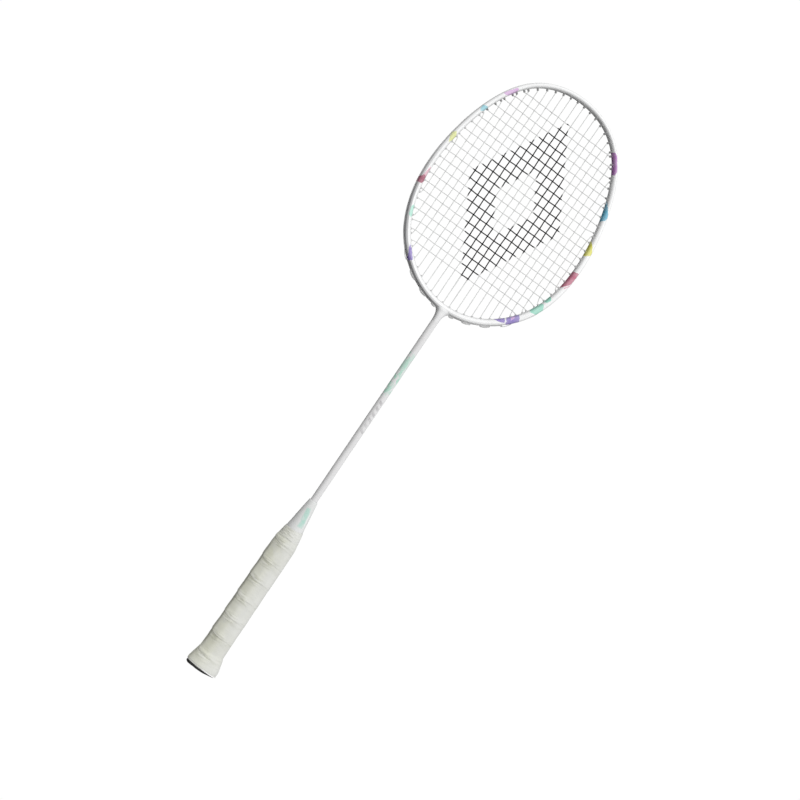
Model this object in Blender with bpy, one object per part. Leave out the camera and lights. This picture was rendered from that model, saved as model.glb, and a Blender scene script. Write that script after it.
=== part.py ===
"""Badminton racket: carbon head frame and shaft, wrapped wooden handle, two woven strings.

The racket lies flat: +Y runs from the butt to the top of the head, +Z is the normal of the
string bed, and the origin is the centre of the end face of the butt.
Lengths below are in millimetres and are turned into metres when a mesh is made.
"""

import math

import bmesh
import bpy
import numpy as np
from mathutils import Vector

MM = 0.001

# Head frame: centre-line harmonics, then the section of the hollow tube.
OUTLINE_SIN = (92.4, -1.2, 1.7, 0.95)
OUTLINE_COS = (547.1, 124.4, 1.6, -0.9, -0.6)
RIM_HALF_WIDTH = 3.4
RIM_HALF_DEPTH = 5.2
RIM_STEPS = 60
GROOVE_DEPTH = 1.75
GROOVE_HALF = 2.0
GROOVE_FADE = (60.0, 76.0)
TABLE_STEPS = 2880

# Throat: the moulded neck that takes the shaft, and the plug that ties both together.
NECK_RINGS = ((413.0, 4.0), (416.5, 4.1), (419.5, 4.5), (422.4, 5.4))
PLUG_RADIUS = 2.45
PLUG_SPAN = (372.0, 424.4)

# Shaft.
SHAFT_RADIUS = 3.6
SHAFT_BORE = 2.6
SHAFT_SPAN = (62.0, 412.7)

# String bed: 22 mains and 21 crosses.
MAINS = 22
CROSSES = 21
MAIN_PITCH = 7.85
CROSS_PITCH = 9.14
FIRST_CROSS = 461.6
STRING_RADIUS = 0.4
WEAVE = 0.55
BED_MARGIN = 2.2

# Grommets: barrels through both walls of the rim, joined by a web in its groove.
HOLE_RADIUS = 1.35
BARREL_RADIUS = 1.1
BARREL_BORE = 0.78
BARREL_LIP = 0.6
BARREL_SEAT = 0.38
HOLE_GAP = 4.2
WEB_LIFT = 0.38
WEB_HALF_THICK = 0.2
WEB_HALF_WIDTH = 1.7
WEB_TAIL = 1.5
LOOP_LIFT = 1.35
BEND_RISE = 0.8
THROAT_CLEAR = 7.4
STRIP_SIZES = (6, 8, 7, 7, 8, 7)
STRIP_NAMES = ("top", "crown", "shoulder", "side", "hip", "throat")

# Handle: (distance from the butt, half width, how octagonal) along the outside of the grip.
GRIP_RINGS = (
    (3.2, 16.7, 0.9),
    (5.5, 17.0, 0.9),
    (9.5, 16.4, 0.95),
    (15.0, 14.4, 1.0),
    (20.5, 13.2, 1.0),
    (60.0, 13.0, 1.0),
    (140.0, 12.9, 1.0),
    (147.5, 12.4, 0.8),
    (158.0, 10.3, 0.2),
)
DEPTH_RATIO = 0.9
TAPE_THICK = 1.5
FIT_GAP = 0.15
CORE_TOP = 148.0
CORE_BORE = 3.75
CORE_BORE_FLOOR = 58.0
CONE_RINGS = ((150.0, 8.3), (163.0, 8.95), (180.0, 7.1), (195.0, 5.2), (197.0, 4.8))
CONE_WALL = 1.1
BAND_SPAN = (152.0, 163.6)
BAND_THICK = 0.4
BAND_GAP = 0.3
CAP_RINGS = ((0.3, 15.0), (1.2, 16.2), (2.9, 16.6))
BADGE_RADIUS = 10.5
BADGE_THICK = 0.6
RECESS_FLOOR = 0.9
RING_POINTS = 24
RING_PHASE = math.radians(7.5)


# ---------------------------------------------------------------- head outline

def rim(phi, out=0.0):
    """A point beside the head centre-line; phi is 0 at the top and grows towards +X."""
    x = sum(a * math.sin((k + 1) * phi) for k, a in enumerate(OUTLINE_SIN))
    y = sum(b * math.cos(k * phi) for k, b in enumerate(OUTLINE_COS))
    dx = sum(a * (k + 1) * math.cos((k + 1) * phi) for k, a in enumerate(OUTLINE_SIN))
    dy = sum(-b * k * math.sin(k * phi) for k, b in enumerate(OUTLINE_COS))
    size = math.hypot(dx, dy)
    return x - dy / size * out, y + dx / size * out


PHIS = np.linspace(0.0, math.pi, TABLE_STEPS + 1)
CENTRE = np.array([rim(p) for p in PHIS])
ARC = np.concatenate(([0.0], np.cumsum(np.linalg.norm(np.diff(CENTRE, axis=0), axis=1))))
BED = np.array([rim(p, -RIM_HALF_WIDTH - BED_MARGIN) for p in PHIS])
WIDEST = int(BED[:, 0].argmax())


def groove_floor(phi):
    """How far out the floor of the string groove lies; the groove fades out at the throat."""
    folded = min(phi % (2 * math.pi), 2 * math.pi - phi % (2 * math.pi))
    to_throat = ARC[-1] - np.interp(folded, PHIS, ARC)
    start, end = GROOVE_FADE
    t = min(max((to_throat - start) / (end - start), 0.0), 1.0)
    return RIM_HALF_WIDTH - GROOVE_DEPTH * t * t * (3 - 2 * t)


# ---------------------------------------------------------------- mesh helpers

def make_object(name, rows, faces, colour, roughness=0.4, metallic=0.0):
    """A named object from millimetre vertices and faces, with its own material."""
    mesh = bpy.data.meshes.new(name)
    mesh.from_pydata([tuple(c * MM for c in v) for v in rows], [], faces)
    tool = bmesh.new()
    tool.from_mesh(mesh)
    bmesh.ops.recalc_face_normals(tool, faces=tool.faces)
    tool.to_mesh(mesh)
    tool.free()
    thing = bpy.data.objects.new(name, mesh)
    bpy.context.collection.objects.link(thing)
    if colour is not None:
        material = bpy.data.materials.new(name)
        material.use_nodes = True
        shader = material.node_tree.nodes["Principled BSDF"]
        shader.inputs["Base Color"].default_value = (*colour, 1.0)
        shader.inputs["Roughness"].default_value = roughness
        shader.inputs["Metallic"].default_value = metallic
        mesh.materials.append(material)
    return thing


def ring_faces(rings, points, closed):
    """Quads between consecutive rings, and either a closed loop of rings or two end caps."""
    faces = []
    last = rings if closed else rings - 1
    for r in range(last):
        a, b = r * points, ((r + 1) % rings) * points
        for k in range(points):
            n = (k + 1) % points
            faces.append((a + k, a + n, b + n, b + k))
    if not closed:
        faces.append(tuple(range(points)))
        faces.append(tuple((rings - 1) * points + k for k in range(points)))
    return faces


def smooth(thing, angle=40.0):
    """Smooth shading with the sharp edges kept."""
    thing.data.polygons.foreach_set("use_smooth", [True] * len(thing.data.polygons))
    thing.data.set_sharp_from_angle(angle=math.radians(angle))


def cut(target, cutter, operation="DIFFERENCE"):
    """An exact Boolean whose cutter is hidden from the render."""
    cutter.hide_render = True
    cutter.display_type = "WIRE"
    step = target.modifiers.new(cutter.name, "BOOLEAN")
    step.operation = operation
    step.solver = "EXACT"
    step.object = cutter


def section(y, half_width, octagon, depth_ratio):
    """One ring across the handle axis, between a circle (0) and an octagon (1)."""
    ring = []
    for k in range(RING_POINTS):
        angle = RING_PHASE + 2 * math.pi * k / RING_POINTS
        off_flat = (angle + math.pi / 8) % (math.pi / 4) - math.pi / 8
        reach = half_width * (1 + octagon * (1 / math.cos(off_flat) - 1))
        ring.append((reach * math.cos(angle), y, reach * math.sin(angle) * depth_ratio))
    return ring


def stack(name, sections, closed, colour=None, roughness=0.4, metallic=0.0):
    """A body from rings along the handle axis; closed makes a sleeve, open a plug."""
    rows = [p for ring in sections for p in ring]
    faces = ring_faces(len(sections), RING_POINTS, closed)
    thing = make_object(name, rows, faces, colour, roughness, metallic)
    smooth(thing)
    return thing


def rounds(pairs, radius_change=0.0):
    """Round rings from (distance, radius) pairs."""
    return [section(y, r + radius_change, 0.0, 1.0) for y, r in pairs]


def grip_rings(inset, low=None, high=None):
    """The outline of the grip, moved in by inset, between two distances from the butt."""
    low = GRIP_RINGS[0][0] if low is None else low
    high = GRIP_RINGS[-1][0] if high is None else high
    stops = [low, *(ring[0] for ring in GRIP_RINGS if low < ring[0] < high), high]
    table = list(zip(*GRIP_RINGS))
    rings = []
    for y in stops:
        width, octagon = (float(np.interp(y, table[0], column)) for column in table[1:])
        rings.append(section(y, width - inset, octagon, grip_depth(y)))
    return rings


def grip_depth(y):
    """The handle is a little shallower than it is wide, until it turns round at the cone."""
    return float(np.interp(y, (140.0, 158.0), (DEPTH_RATIO, 1.0)))


def rods(name, ends, radius, sides, phase):
    """Straight prisms between pairs of points, all in one cutter or joining body."""
    rows, faces = [], []
    for low, high in ends:
        axis = (Vector(high) - Vector(low)).normalized()
        up = Vector((0.0, 0.0, 1.0))
        side = axis.cross(up).normalized()
        base = len(rows)
        for centre in (Vector(low), Vector(high)):
            for k in range(sides):
                turn = phase + 2 * math.pi * k / sides
                rows.append(centre + side * radius * math.cos(turn) + up * radius * math.sin(turn))
        faces += [tuple(base + i for i in f) for f in ring_faces(2, sides, False)]
    return make_object(name, rows, faces, None)


def sweep(name, path, profile, colour, roughness):
    """Carries a small profile (sideways, up) along a path, mitred at the corners."""
    points = [Vector(p) for p in path]
    rows = []
    for k, point in enumerate(points):
        before = (point - points[max(k - 1, 0)]).normalized()
        after = (points[min(k + 1, len(points) - 1)] - point).normalized()
        along = (before + after).normalized()
        straight = after if after.length > 0.5 else before
        mitre = 1 / max(along.dot(straight), 0.65)
        side = along.cross(Vector((0.0, 0.0, 1.0))).normalized()
        up = side.cross(along)
        rows += [point + side * (s * mitre) + up * u for s, u in profile]
    faces = ring_faces(len(points), len(profile), False)
    return make_object(name, rows, faces, colour, roughness)


# ---------------------------------------------------------------- string pattern

def line_holes():
    """Where each string line meets the right half of the rim, as (kind, index, arc)."""
    found = []
    for k in range(MAINS // 2):
        x = (k + 0.5) * MAIN_PITCH
        found.append(("top", k, float(np.interp(x, BED[: WIDEST + 1, 0], ARC[: WIDEST + 1]))))
        low = slice(None, WIDEST - 1, -1)
        found.append(("low", k, float(np.interp(x, BED[low, 0], ARC[low]))))
    for j in range(CROSSES):
        y = FIRST_CROSS + j * CROSS_PITCH
        found.append(("side", j, float(np.interp(-y, -BED[:, 1], ARC))))
    return sorted(found, key=lambda hole: hole[2])


def spread(arcs):
    """Moves neighbouring holes apart until the rim keeps a wall between them."""
    arcs = list(arcs)
    for _ in range(200):
        for k in range(len(arcs) - 1):
            short = HOLE_GAP - (arcs[k + 1] - arcs[k])
            if short > 0:
                arcs[k] -= short / 2
                arcs[k + 1] += short / 2
    return arcs


def make_holes():
    """Inner and outer mouths of the right-hand holes, in order from the top to the throat."""
    lines = line_holes()
    arcs = spread([hole[2] for hole in lines])
    holes = []
    for (kind, index, _), arc in zip(lines, arcs):
        phi_in = float(np.interp(arc, ARC, PHIS))
        phi_out = phi_in
        if kind == "low" and index == 0:
            phi_out = float(np.interp(ARC[-1] - THROAT_CLEAR, ARC, PHIS))
        level = -WEAVE if kind == "side" else WEAVE
        holes.append({"key": (kind, index), "phi_in": phi_in, "phi_out": phi_out, "z": level})
    return holes


HOLES = make_holes()
BY_KEY = {hole["key"]: hole for hole in HOLES}


def on_axis(hole, side, inwards=None, outwards=0.0):
    """A point on a hole's axis, inwards of its inner lip or outwards of the groove floor."""
    inner = Vector(rim(hole["phi_in"], -RIM_HALF_WIDTH - BARREL_LIP))
    outer = Vector(rim(hole["phi_out"], groove_floor(hole["phi_out"])))
    axis = (outer - inner).normalized()
    point = outer + axis * outwards if inwards is None else inner - axis * inwards
    return side * point.x, point.y, hole["z"]


def over(hole, side):
    """The two corners of a string at a hole: clear of the inner lip, then the outer loop."""
    return [on_axis(hole, side, inwards=BEND_RISE), on_axis(hole, side, outwards=LOOP_LIFT)]


def around(kind, low_index, side, level):
    """The run of a string outside the rim between two of its holes, over the ones between."""
    first = HOLES.index(BY_KEY[(kind, low_index)])
    last = HOLES.index(BY_KEY[(kind, low_index + 1)])
    low, high = sorted((first, last))
    run = []
    for hole in HOLES[low + 1 : high]:
        x, y = rim(hole["phi_out"], groove_floor(hole["phi_out"]) + LOOP_LIFT)
        run.append((side * x, y, level))
    return run if first < last else run[::-1]


def sits_inside(x, y):
    """Whether a crossing lies clear of the rim."""
    low, high = BED[WIDEST:][::-1], BED[: WIDEST + 1]
    if abs(x) >= BED[WIDEST, 0]:
        return False
    bottom = np.interp(abs(x), low[:, 0], low[:, 1])
    top = np.interp(abs(x), high[:, 0], high[:, 1])
    return bottom < y < top


def main_route():
    """All mains as one string: up and down, looping outside the rim at each end."""
    route = []
    for i in range(MAINS):
        x = (i - (MAINS - 1) / 2) * MAIN_PITCH
        side = 1 if x > 0 else -1
        k = int(abs(x) // MAIN_PITCH)
        leg = over(BY_KEY[("low", k)], side)[::-1]
        for j in range(CROSSES):
            y = FIRST_CROSS + j * CROSS_PITCH
            if sits_inside(x, y):
                leg.append((x, y, WEAVE * (-1) ** (i + j)))
        leg += over(BY_KEY[("top", k)], side)
        route += leg if i % 2 == 0 else leg[::-1]
        if i < MAINS - 1 and i != MAINS // 2 - 1:
            end = "top" if i % 2 == 0 else "low"
            outward = around(end, k if side > 0 else k - 1, side, WEAVE)
            route += outward if side > 0 else outward[::-1]
    return route


def cross_route():
    """All crosses as one string: side to side, woven the other way at every crossing."""
    route = []
    for j in range(CROSSES):
        y = FIRST_CROSS + j * CROSS_PITCH
        leg = over(BY_KEY[("side", j)], -1)[::-1]
        for i in range(MAINS):
            x = (i - (MAINS - 1) / 2) * MAIN_PITCH
            if sits_inside(x, y):
                leg.append((x, y, -WEAVE * (-1) ** (i + j)))
        leg += over(BY_KEY[("side", j)], 1)
        route += leg if j % 2 == 0 else leg[::-1]
        if j < CROSSES - 1:
            route += around("side", j, 1 if j % 2 == 0 else -1, -WEAVE)
    return route


# ---------------------------------------------------------------- pieces

def rim_tube(name, profile_at, colour=None):
    """A closed tube round the head; profile_at gives (out, z) points for an angle."""
    rows = []
    for step in range(RIM_STEPS):
        phi = 2 * math.pi * step / RIM_STEPS
        profile = profile_at(phi)
        for out, z in profile:
            x, y = rim(phi, out)
            rows.append((x, y, z))
    faces = ring_faces(RIM_STEPS, len(profile), True)
    return make_object(name, rows, faces, colour, 0.15)


def rim_outside(phi):
    """The rim's outer section with its string groove."""
    half = [
        (groove_floor(phi), GROOVE_HALF),
        (RIM_HALF_WIDTH, GROOVE_HALF + 0.6),
        (0.42 * RIM_HALF_WIDTH, RIM_HALF_DEPTH),
        (-0.42 * RIM_HALF_WIDTH, RIM_HALF_DEPTH),
        (-RIM_HALF_WIDTH, 0.36 * RIM_HALF_DEPTH),
    ]
    return half + [(out, -z) for out, z in reversed(half)]


def rim_inside(_):
    """The hollow of the rim, which keeps a wall of about 0.8 mm."""
    half = [(0.85, 3.3), (-0.5, 4.3), (-2.6, 1.7)]
    return half + [(out, -z) for out, z in reversed(half)]


def make_frame():
    """Hollow head frame with its neck, drilled for every string."""
    frame = rim_tube("head_frame", rim_outside, (0.86, 0.87, 0.87))
    smooth(frame, 50.0)
    neck = stack("neck_blank", rounds(NECK_RINGS), False)
    cut(frame, neck, "UNION")
    cut(frame, rim_tube("rim_hollow", rim_inside))
    bore = stack("neck_bore", rounds(((410.0, SHAFT_BORE), (424.8, SHAFT_BORE))), False)
    cut(frame, bore)
    ends = []
    for side in (1, -1):
        for hole in HOLES:
            ends.append((on_axis(hole, side, inwards=1.5), on_axis(hole, side, outwards=3.0)))
    cut(frame, rods("string_holes", ends, HOLE_RADIUS, 6, 0.0))


def make_strip(name, members):
    """One grommet strip: barrels for its holes on a web that lies in the groove."""
    path = []
    for side, hole in members:
        x, y = rim(hole["phi_out"], groove_floor(hole["phi_out"]) + WEB_LIFT)
        path.append(Vector((side * x, y, 0.0)))
    path.insert(0, path[0] + (path[0] - path[1]).normalized() * WEB_TAIL)
    path.append(path[-1] + (path[-1] - path[-2]).normalized() * WEB_TAIL)
    t, w = WEB_HALF_THICK, WEB_HALF_WIDTH
    web = sweep(name, path, ((t, w), (-t, w), (-t, -w), (t, -w)), (0.82, 0.82, 0.80), 0.45)
    ends, bores = [], []
    for side, hole in members:
        ends.append((on_axis(hole, side, inwards=0.0), on_axis(hole, side, outwards=BARREL_SEAT)))
        bores.append((on_axis(hole, side, inwards=1.0), on_axis(hole, side, outwards=1.4)))
    cut(web, rods(name + "_barrels", ends, BARREL_RADIUS, 6, 0.0), "UNION")
    cut(web, rods(name + "_bores", bores, BARREL_BORE, 4, math.pi / 4))


def make_grommets():
    """Strips from the crown to the throat on both sides, and one across the top."""
    start = 0
    for name, count in zip(STRIP_NAMES, STRIP_SIZES):
        run = HOLES[start : start + count]
        start += count
        if name == "top":
            members = [(-1, hole) for hole in reversed(run)] + [(1, hole) for hole in run]
            make_strip("grommets_top", members)
        else:
            make_strip(f"grommets_{name}_left", [(-1, hole) for hole in run])
            make_strip(f"grommets_{name}_right", [(1, hole) for hole in run])


def make_strings():
    """The two strings, square in section so that the weave stays light."""
    r = STRING_RADIUS
    profile = ((r, 0.0), (0.0, r), (-r, 0.0), (0.0, -r))
    for name, route in (("main_string", main_route()), ("cross_string", cross_route())):
        smooth(sweep(name, route, profile, (0.80, 0.81, 0.80), 0.5), 95.0)


def make_shaft():
    """Hollow shaft and the plug that ties it to the neck of the frame."""
    low, high = SHAFT_SPAN
    outer = rounds(((low, SHAFT_RADIUS), (high, SHAFT_RADIUS)))
    inner = rounds(((high, SHAFT_BORE), (low, SHAFT_BORE)))
    stack("shaft", outer + inner, True, (0.80, 0.84, 0.83), 0.15)
    plug = rounds(tuple((y, PLUG_RADIUS) for y in PLUG_SPAN))
    stack("t_joint", plug, False, (0.10, 0.10, 0.11), 0.5)


def make_handle():
    """Cone, wooden core, wrapped grip, finishing tape, end cap and badge."""
    outer = rounds(CONE_RINGS)
    low, high = CONE_RINGS[0][0], CONE_RINGS[-1][0]
    bore = SHAFT_RADIUS + FIT_GAP
    lining = [(y, r - CONE_WALL) for y, r in CONE_RINGS if r - CONE_WALL > bore + 0.2]
    inner = rounds([(high, bore), (high - 5.0, bore), *reversed(lining[:-1])])
    stack("handle_cone", outer + inner, True, (0.84, 0.87, 0.86), 0.25)

    inset = TAPE_THICK + FIT_GAP
    core = stack("handle_core", grip_rings(inset, None, CORE_TOP), False, (0.72, 0.55, 0.35), 0.7)
    shaft_room = rounds(((CORE_BORE_FLOOR, CORE_BORE), (CORE_TOP + 5.0, CORE_BORE)))
    cut(core, stack("core_bore", shaft_room, False))

    outer = grip_rings(0.0)
    inner = grip_rings(TAPE_THICK, None, CORE_TOP) + cone_seat()
    stack("grip_tape", outer + inner[::-1], True, (0.78, 0.78, 0.72), 0.8)

    outer = band_rings(BAND_GAP + BAND_THICK)
    inner = band_rings(BAND_GAP)
    stack("finishing_tape", outer + inner[::-1], True, (0.80, 0.80, 0.77), 0.5)

    cap = [section(y, r, 0.9, DEPTH_RATIO) for y, r in CAP_RINGS]
    end = stack("butt_cap", cap, False, (0.02, 0.02, 0.02), 0.35)
    room = rounds(((-1.0, BADGE_RADIUS + FIT_GAP), (RECESS_FLOOR, BADGE_RADIUS + FIT_GAP)))
    cut(end, stack("badge_recess", room, False))
    badge = rounds(((0.0, BADGE_RADIUS), (BADGE_THICK, BADGE_RADIUS)))
    stack("butt_badge", badge, False, (0.35, 0.36, 0.37), 0.3)


def band_rings(lift):
    """The finishing tape's outline: over the end of the grip, then down onto the cone."""
    low, high = BAND_SPAN
    grip_end = GRIP_RINGS[-1][0]
    rings = grip_rings(-lift, low)
    edge = section(grip_end + 0.5, GRIP_RINGS[-1][1] + lift, GRIP_RINGS[-1][2], 1.0)
    radius = float(np.interp(high, *zip(*CONE_RINGS)))
    return [*rings, edge, section(high, radius + lift, 0.0, 1.0)]


def cone_seat():
    """The top of the grip's lining, which lies on the cone."""
    cone = list(zip(*CONE_RINGS))
    rings = []
    for y in (CORE_TOP + 1.0, GRIP_RINGS[-1][0]):
        radius = float(np.interp(y, *cone)) + FIT_GAP
        rings.append(section(y, radius, 0.0, 1.0))
    return rings


for existing in list(bpy.data.objects):
    bpy.data.objects.remove(existing)

make_frame()
make_grommets()
make_strings()
make_shaft()
make_handle()
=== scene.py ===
"""Looks for the badminton racket: lacquered frame, woven strings, wound grip, studio light.

Everything is in the frame of the CAD model: +Y from the butt to the top of the head, +Z the
normal of the string bed. Shapes are worked out in millimetres and stored in metres.
"""

import math

import bmesh
import bpy
import numpy as np
from mathutils import Matrix, Vector


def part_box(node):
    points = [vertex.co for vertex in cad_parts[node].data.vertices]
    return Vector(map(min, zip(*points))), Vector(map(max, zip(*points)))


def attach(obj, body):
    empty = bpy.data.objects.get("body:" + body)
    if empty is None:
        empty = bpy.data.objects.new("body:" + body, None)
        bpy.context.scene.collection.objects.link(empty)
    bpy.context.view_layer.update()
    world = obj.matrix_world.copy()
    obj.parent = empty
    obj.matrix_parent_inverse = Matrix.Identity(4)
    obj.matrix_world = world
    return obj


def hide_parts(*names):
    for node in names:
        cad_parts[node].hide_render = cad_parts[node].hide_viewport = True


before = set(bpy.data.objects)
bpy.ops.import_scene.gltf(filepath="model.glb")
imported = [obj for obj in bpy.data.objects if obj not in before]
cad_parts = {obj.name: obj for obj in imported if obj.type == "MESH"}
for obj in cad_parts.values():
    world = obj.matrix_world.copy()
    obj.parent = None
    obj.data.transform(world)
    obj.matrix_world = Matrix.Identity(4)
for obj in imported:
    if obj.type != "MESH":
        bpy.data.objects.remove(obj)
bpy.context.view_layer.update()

MM = 0.001
TURN = 2 * math.pi

# Head frame, as in the CAD model.
OUTLINE_SIN = np.array((92.4, -1.2, 1.7, 0.95))
OUTLINE_COS = np.array((547.1, 124.4, 1.6, -0.9, -0.6))
RIM_HALF_WIDTH = 3.4
GROOVE_DEPTH = 1.75
GROOVE_FADE = (60.0, 76.0)
TABLE_STEPS = 2880

# String bed and grommets, as in the CAD model.
MAINS = 22
CROSSES = 21
MAIN_PITCH = 7.85
CROSS_PITCH = 9.14
FIRST_CROSS = 461.6
BED_MARGIN = 2.2
HOLE_GAP = 4.2
BARREL_LIP = 0.6
BARREL_SEAT = 0.38
WEB_LIFT = 0.38
LOOP_LIFT = 1.35
BEND_RISE = 0.8
THROAT_CLEAR = 7.4
SPREAD_PASSES = 200
STRIP_SIZES = (6, 8, 7, 7, 8, 7)
STRIP_NAMES = ("top", "crown", "shoulder", "side", "hip", "throat")

# Finer sizes that only show here.
SHARP_DEGREES = 48
RIM_STEPS = 420
RIM_EDGE = 3.5
RIM_CORNERS = np.array((
    (3.5, -2.6), (3.5, 2.6), (2.3, 4.4), (0.5, 5.2), (-0.9, 4.75), (-2.1, 3.9), (-2.9, 2.1),
    (-3.3, 0.0), (-2.9, -2.1), (-2.1, -3.9), (-0.9, -4.75), (0.5, -5.2), (2.3, -4.4),
))
RIM_ROUNDING = 0.35
GROOVE_LEVELS = (-2.04, -1.88, -1.72, -1.56, -0.8, 0.0, 0.8, 1.56, 1.72, 1.88, 2.04)
GROOVE_SLOPE = 0.48
# Distance from the top along the rim, and how wide the rim is there outside and inside.
RIM_WIDTHS = np.array((
    (0.0, 0.82, 0.77),
    (30.0, 0.81, 0.72),
    (52.0, 0.80, 0.72),
    (92.0, 0.76, 0.92),
    (140.0, 0.88, 0.93),
    (178.0, 1.02, 0.92),
    (225.0, 1.06, 0.93),
    (262.0, 1.18, 0.96),
    (292.0, 1.0, 1.0),
    (345.0, 1.0, 1.0),
))
# The neck: distance from the butt, half width, half depth.
NECK_RINGS = (
    (407.5, 3.56, 3.56), (408.2, 3.61, 3.61), (410.5, 3.7, 3.64), (413.0, 3.95, 3.7),
    (415.0, 4.3, 3.8), (416.8, 4.8, 3.9), (418.3, 5.5, 4.05), (419.6, 6.4, 4.3),
    (420.7, 7.6, 4.6), (421.8, 9.4, 4.85), (422.9, 11.9, 5.0), (424.3, 15.5, 5.12),
)
STRING_RADIUS = 0.42
STRING_SIDES = 8
WEAVE = 0.6
WEAVE_STEPS = 5
BEND_RADIUS = 0.6
STENCIL_WIDE = 56.0
STENCIL_LONG = 97.0
STENCIL_MIDDLE = 549.8
STENCIL_HOLE = 0.4
INK_SWELL = 1.42
BARREL_SIDES = 14
BARREL_RISE = 0.75
BARREL_SHORT = 0.2
# Strips with taller barrels whose nylon is greyed as painted shade.
SHADED_PROUD_STRIPS = ("top", "crown")
PAD_LIFT = 0.75
LOOP_RISE = 0.6

# Outside of the grip, close to the CAD model's: distance from the butt, half width, how octagonal.
GRIP_RINGS = np.array((
    (3.2, 16.7, 0.9),
    (5.5, 17.0, 0.9),
    (9.5, 16.4, 0.95),
    (15.0, 15.0, 1.0),
    (18.6, 14.1, 1.0),
    (20.8, 13.2, 1.0),
    (60.0, 13.0, 1.0),
    (140.0, 12.9, 1.0),
    (147.5, 12.4, 0.8),
    (158.0, 10.3, 0.2),
))
DEPTH_RATIO = 0.9
FACETS = 0.36
CORNER_FULL = 1 / math.cos(math.pi / 8) - 1

# Grip tape: its spiral, and how its end at the butt slants and crowns.
TAPE_THICK = 1.4
WRAP_PITCH = 21.6
WRAP_START = 10.0
WRAP_STEP = 0.42
WRAP_SWAY = 0.117
END_LEVEL = 1.8
END_SLANT = 1.4
END_CROWN = 1.1
GRIP_SIDES = 120
GRIP_SPACING = 0.42

# Shaft, cone, finishing tape, cap and badge: distance from the butt, radius.
SHAFT_SIDES = 64
CONE_SIDES = 72
CONE_STEPS = 40
BUTT_SIDES = 96
BAND_SIDES = 96
SHAFT_RINGS = (
    (62.0, 2.6), (62.0, 3.45), (62.3, 3.6), *((y, 3.6) for y in np.arange(80.0, 400.0, 20.0)),
    (412.3, 3.6), (412.6, 3.5), (412.7, 3.3), (412.7, 2.6),
)
CONE_OUTSIDE = (
    (150.0, 8.3), (156.0, 8.9), (163.0, 8.95), (171.0, 8.0), (180.0, 6.85), (190.0, 5.5),
    (195.2, 4.75),
)
CONE_INSIDE = (
    (195.9, 4.6), (196.3, 4.4), (196.5, 4.15), (196.5, 3.9), (196.2, 3.75), (192.0, 3.75),
    (190.0, 4.2), (163.0, 7.8), (150.0, 7.2),
)
BAND_OUTSIDE = ((152.4, 11.5), (159.0, 10.45), (162.4, 9.75))
BAND_START = ((152.0, 11.35), (152.4, 11.5))
BAND_END = ((163.2, 9.6), (163.6, 9.35), (163.4, 9.1), (158.4, 10.1), (152.2, 11.1))
CAP_RINGS = (
    (0.9, 10.65), (0.3, 10.65), (0.3, 14.6), (0.36, 15.2), (0.55, 15.8), (0.85, 16.15),
    (1.2, 16.25), (1.7, 16.1), (3.4, 15.5), (3.4, 9.0),
)
BADGE_RINGS = (
    (0.6, 10.4), (0.16, 10.5), (0.04, 10.42), (0.0, 10.25), (0.0, 9.3), (0.1, 9.15), (0.1, 8.6),
    (0.0, 8.45), (0.0, 2.6), (0.12, 2.4), (0.12, 0.4),
)

# Camera: looking almost straight down on the racket from its left.
CAMERA_AT = (-0.257706, 0.266971, 1.346135)
CAMERA_BACK = (-0.198484, -0.042534, 0.979181)
CAMERA_UP = (-0.554958, 0.828353, -0.07651)
LENS = 63.0

# Floor: where along the racket the butt's flare and the tip of the head touch it, and its size.
FLARE_AT = 0.0055
TIP_AT = 0.671
FLOOR_HALF = 12.0

# Light: the sky brightens evenly towards the upper right of the head.
KEY_FROM = Vector((0.53, 0.78, 0.67))
SKY_MEAN = 0.70
SKY_SLOPE = 0.98
SKY_FLOOR = 0.02
SKY_TOP = 1.32
HORIZON_DIM = 0.88


# ---------------------------------------------------------------- head outline

def rim(phi, out=0.0):
    """Points beside the head centre-line; phi is 0 at the top and grows towards +X."""
    phi = np.asarray(phi, float)
    ks = np.arange(1, len(OUTLINE_SIN) + 1)
    kc = np.arange(len(OUTLINE_COS))
    angles_s, angles_c = np.multiply.outer(phi, ks), np.multiply.outer(phi, kc)
    x, y = np.sin(angles_s) @ OUTLINE_SIN, np.cos(angles_c) @ OUTLINE_COS
    dx = np.cos(angles_s) @ (OUTLINE_SIN * ks)
    dy = -np.sin(angles_c) @ (OUTLINE_COS * kc)
    size = np.hypot(dx, dy)
    return np.stack([x - dy / size * out, y + dx / size * out], -1)


PHIS = np.linspace(0.0, math.pi, TABLE_STEPS + 1)
ARC = np.concatenate(([0.0], np.cumsum(np.linalg.norm(np.diff(rim(PHIS), axis=0), axis=1))))
BED = rim(PHIS, -RIM_HALF_WIDTH - BED_MARGIN)
WIDEST = int(BED[:, 0].argmax())


def from_top(phi):
    """Distance along the rim from the top, on either side."""
    return np.interp(np.minimum(phi % TURN, TURN - phi % TURN), PHIS, ARC)


def outer_edge(phi):
    """How far out the rim reaches; it is slimmer at the crown than at the hips."""
    return RIM_EDGE * eased(RIM_WIDTHS[:, :2], from_top(phi))


def groove_floor(phi):
    """How far out the floor of the string groove lies; the groove fades out at the throat."""
    to_throat = ARC[-1] - from_top(phi)
    start, end = GROOVE_FADE
    t = np.clip((to_throat - start) / (end - start), 0.0, 1.0)
    return outer_edge(phi) - RIM_EDGE + RIM_HALF_WIDTH - GROOVE_DEPTH * t * t * (3 - 2 * t)


# ---------------------------------------------------------------- mesh helpers

def ring_faces(rings, points, closed, first=0):
    """Quads between consecutive rings, and a closed loop of rings or two end caps."""
    faces = []
    for r in range(rings if closed else rings - 1):
        a, b = first + r * points, first + ((r + 1) % rings) * points
        for k in range(points):
            n = (k + 1) % points
            faces.append((a + k, a + n, b + n, b + k))
    if not closed:
        faces.append(tuple(first + k for k in range(points))[::-1])
        faces.append(tuple(first + (rings - 1) * points + k for k in range(points)))
    return faces


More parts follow.
